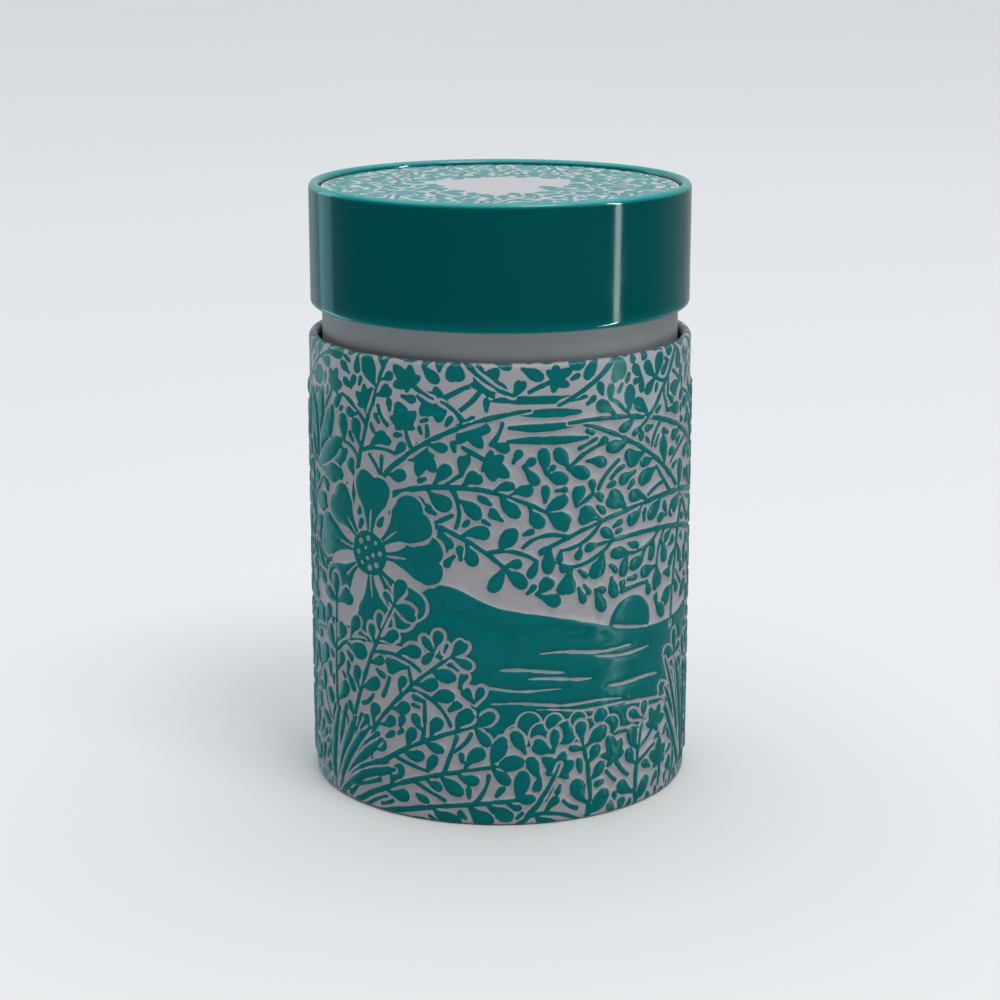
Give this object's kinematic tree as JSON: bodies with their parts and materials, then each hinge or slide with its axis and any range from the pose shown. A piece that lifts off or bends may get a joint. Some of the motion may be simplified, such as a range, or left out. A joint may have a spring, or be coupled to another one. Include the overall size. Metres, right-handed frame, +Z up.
{
  "type": "round powder tin with slip lid and sifter",
  "caption": "Round embossed tinplate powder tin with a glossy slip-on lid, a plain inner sleeve that shows as the neck, and a rotary sifter under the lid.",
  "frame": {"origin": "centre of the standing ring, in the plane it stands on", "axes": "+Z up along the tin's axis; -Y towards the front of the print, +X to the right as seen from the front"},
  "size_m": [0.075, 0.075, 0.1172],
  "materials": {
    "body_print": "matte off-white ground with raised glossy teal motifs",
    "tinplate": "bright tinplate",
    "gasket_rubber": "soft, matte",
    "sleeve_enamel": "smooth matte off-white enamel",
    "ring_plastic": "moulded, matte",
    "sifter_plastic": "moulded, satin",
    "dial_plastic": "moulded, satin teal",
    "rivet_metal": "nickel plated",
    "lid_lacquer": "glossy teal lacquer",
    "panel_print": "off-white print with teal foliage",
    "seal_foam": "closed-cell foam"
  },
  "bodies": {
    "tin": {"body_shell": "body_print", "base_end": "tinplate", "foot_gasket": "gasket_rubber", "inner_sleeve": "sleeve_enamel", "centering_ring": "ring_plastic", "sifter_plate": "sifter_plastic", "pivot_washer": "tinplate", "pivot_rivet": "rivet_metal"},
    "dial": {"sifter_dial": "dial_plastic"},
    "lid": {"lid_shell": "lid_lacquer", "lid_panel": "panel_print", "lid_seal": "seal_foam"}
  },
  "joints": [
    {"name": "lid_lift", "type": "slide", "parent": "tin", "child": "lid", "axis": [0, 0, 1], "range_m": [0, 0.045]},
    {"name": "dial_turn", "type": "hinge", "parent": "tin", "child": "dial", "pos_m": [0, 0, 0.1043], "axis": [0, 0, 1], "range_deg": [0, 30]}
  ]
}
